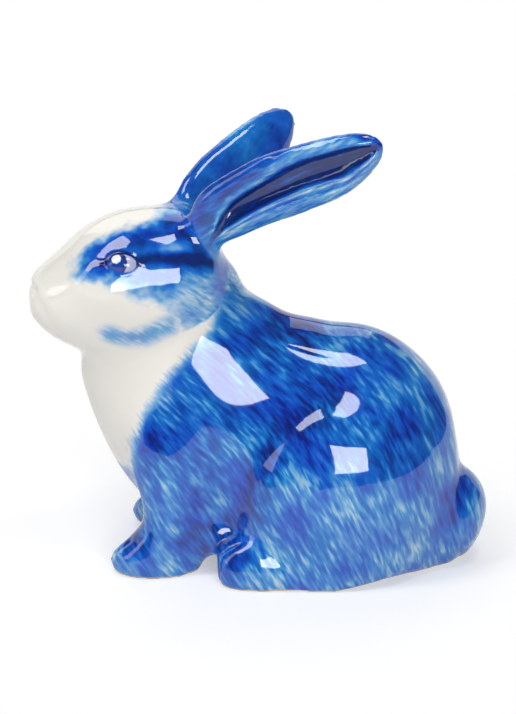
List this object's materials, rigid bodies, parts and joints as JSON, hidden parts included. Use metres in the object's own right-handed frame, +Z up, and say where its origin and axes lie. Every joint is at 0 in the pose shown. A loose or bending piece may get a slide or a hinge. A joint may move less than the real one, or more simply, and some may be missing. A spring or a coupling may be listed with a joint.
{
  "type": "ceramic rabbit figurine",
  "caption": "Sitting ceramic rabbit with laid-back cupped ears, turned head, rounded haunches and a flat unglazed base, painted in blue and white under a clear glaze.",
  "frame": {"origin": "on the ground, under the middle of the whole rabbit's box", "axes": "+Z up; the nose points to -X and the rump to +X; the rabbit's own left flank is towards -Y"},
  "size_m": [0.1186, 0.0684, 0.1169],
  "materials": {
    "painted_glaze": "gloss clear glaze over brushed cobalt on cream earthenware, bare clay on the underside",
    "pupil_glaze": "gloss clear glaze over dark cobalt"
  },
  "bodies": {
    "root": {"trunk_shell": "painted_glaze", "head_shell": "painted_glaze", "ear_left": "painted_glaze", "ear_right": "painted_glaze", "eye_left": "pupil_glaze", "eye_right": "pupil_glaze", "foreleg_left": "painted_glaze", "foreleg_right": "painted_glaze", "haunch_left": "painted_glaze", "haunch_right": "painted_glaze", "hind_foot_left": "painted_glaze", "hind_foot_right": "painted_glaze", "tail": "painted_glaze"}
  },
  "joints": []
}
